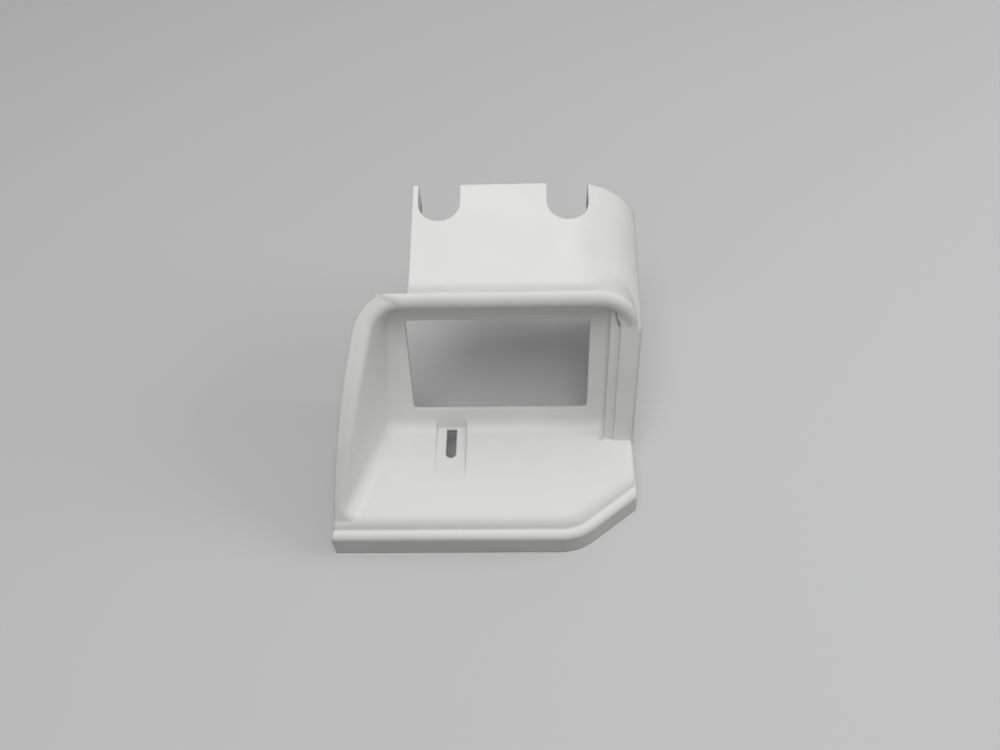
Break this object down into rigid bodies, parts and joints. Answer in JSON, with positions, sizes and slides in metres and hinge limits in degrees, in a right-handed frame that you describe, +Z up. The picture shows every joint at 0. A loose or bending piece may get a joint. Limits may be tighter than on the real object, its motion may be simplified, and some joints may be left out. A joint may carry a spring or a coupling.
{
  "type": "display housing",
  "caption": "White injection moulded shell with a leaning display window under a rolled hood, a flat shelf with a slot in front and a notched top plate behind.",
  "frame": {"origin": "under the centre of the footprint, on the surface that the skirt stands on", "axes": "+Z up, -Y the front with the open shelf, +Y the open rear, +X the side with the flat cheek"},
  "size_m": [0.165, 0.156, 0.1207],
  "materials": {
    "housing": "fine even moulded texture, matte white"
  },
  "bodies": {
    "root": {"housing": "housing"}
  },
  "joints": []
}
